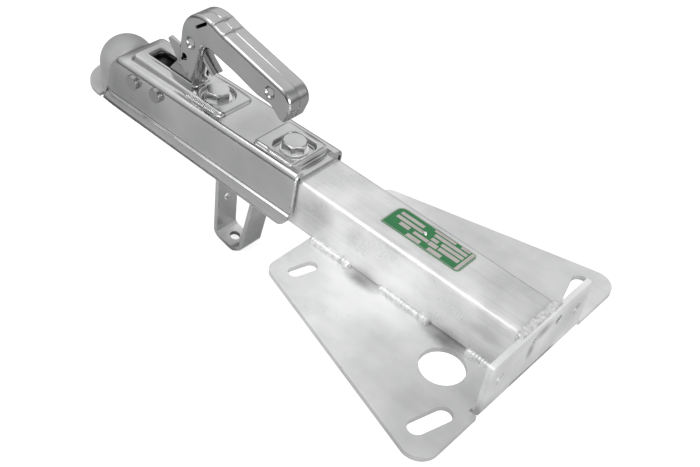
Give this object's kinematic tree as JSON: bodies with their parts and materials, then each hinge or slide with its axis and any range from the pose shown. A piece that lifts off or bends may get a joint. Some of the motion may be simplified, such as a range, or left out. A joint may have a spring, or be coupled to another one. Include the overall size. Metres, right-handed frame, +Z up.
{
  "type": "trailer ball coupler",
  "caption": "Drawbar coupler for a 50 mm tow ball: sheet housing with lever handle and safety catch on a square tube, welded to a slotted base plate with a rear flap.",
  "frame": {"origin": "centre of the spherical ball seat in the housing's dome", "axes": "+X along the drawbar from the ball to the base plate, +Y to the right side of the towed trailer, +Z up"},
  "size_m": [0.6225, 0.3206, 0.2799],
  "materials": {
    "zinc_housing": "zinc plated, satin",
    "zinc_frame": "zinc plated, brighter, cloudy",
    "zinc_handle": "zinc plated, satin",
    "zinc_fastener": "zinc plated, semi-bright",
    "weld_metal": "zinc plated over weld ripples",
    "jaw_iron": "cast, greased",
    "spring_steel": "dark",
    "plate_green": "printed aluminium, satin",
    "rivet_metal": "plain"
  },
  "bodies": {
    "root": {"housing": "zinc_housing", "drawbar_tube": "zinc_frame", "base_plate": "zinc_frame", "plate_welds": "weld_metal", "end_weld": "weld_metal", "front_bolt": "zinc_fastener", "rear_bolt": "zinc_fastener", "front_washer": "zinc_fastener", "rear_washer": "zinc_fastener", "lower_washers": "zinc_fastener", "lock_nuts": "zinc_fastener", "tube_spacers": "zinc_fastener", "cable_loop": "zinc_frame", "front_pivot_pin": "zinc_fastener", "rear_pivot_pin": "zinc_fastener", "type_plate": "plate_green", "type_plate_rivet": "rivet_metal", "jaw_spring": "spring_steel", "handle_spring": "spring_steel"},
    "handle": {"handle_shell": "zinc_handle", "lever_arm": "zinc_fastener", "catch_pin": "zinc_fastener", "grip_rivet": "zinc_fastener", "catch_spring": "spring_steel"},
    "catch": {"safety_catch": "zinc_handle"},
    "jaw": {"ball_jaw": "jaw_iron"}
  },
  "joints": [
    {"name": "handle_lift", "type": "hinge", "parent": "root", "child": "handle", "pos_m": [0.093, 0, 0.0205], "axis": [0, -1, 0], "range_deg": [0, 50]},
    {"name": "jaw_swing", "type": "hinge", "parent": "root", "child": "jaw", "pos_m": [0.055, 0, 0.017], "axis": [0, -1, 0], "range_deg": [0, 20]},
    {"name": "catch_squeeze", "type": "hinge", "parent": "handle", "child": "catch", "pos_m": [0.1216, 0, 0.0925], "axis": [0, 1, 0], "range_deg": [0, 10], "stiffness_Nm_per_rad": 0.5}
  ],
  "couplings": [
    {"joint": "jaw_swing", "follows": "handle_lift", "ratio": 0.4}
  ]
}
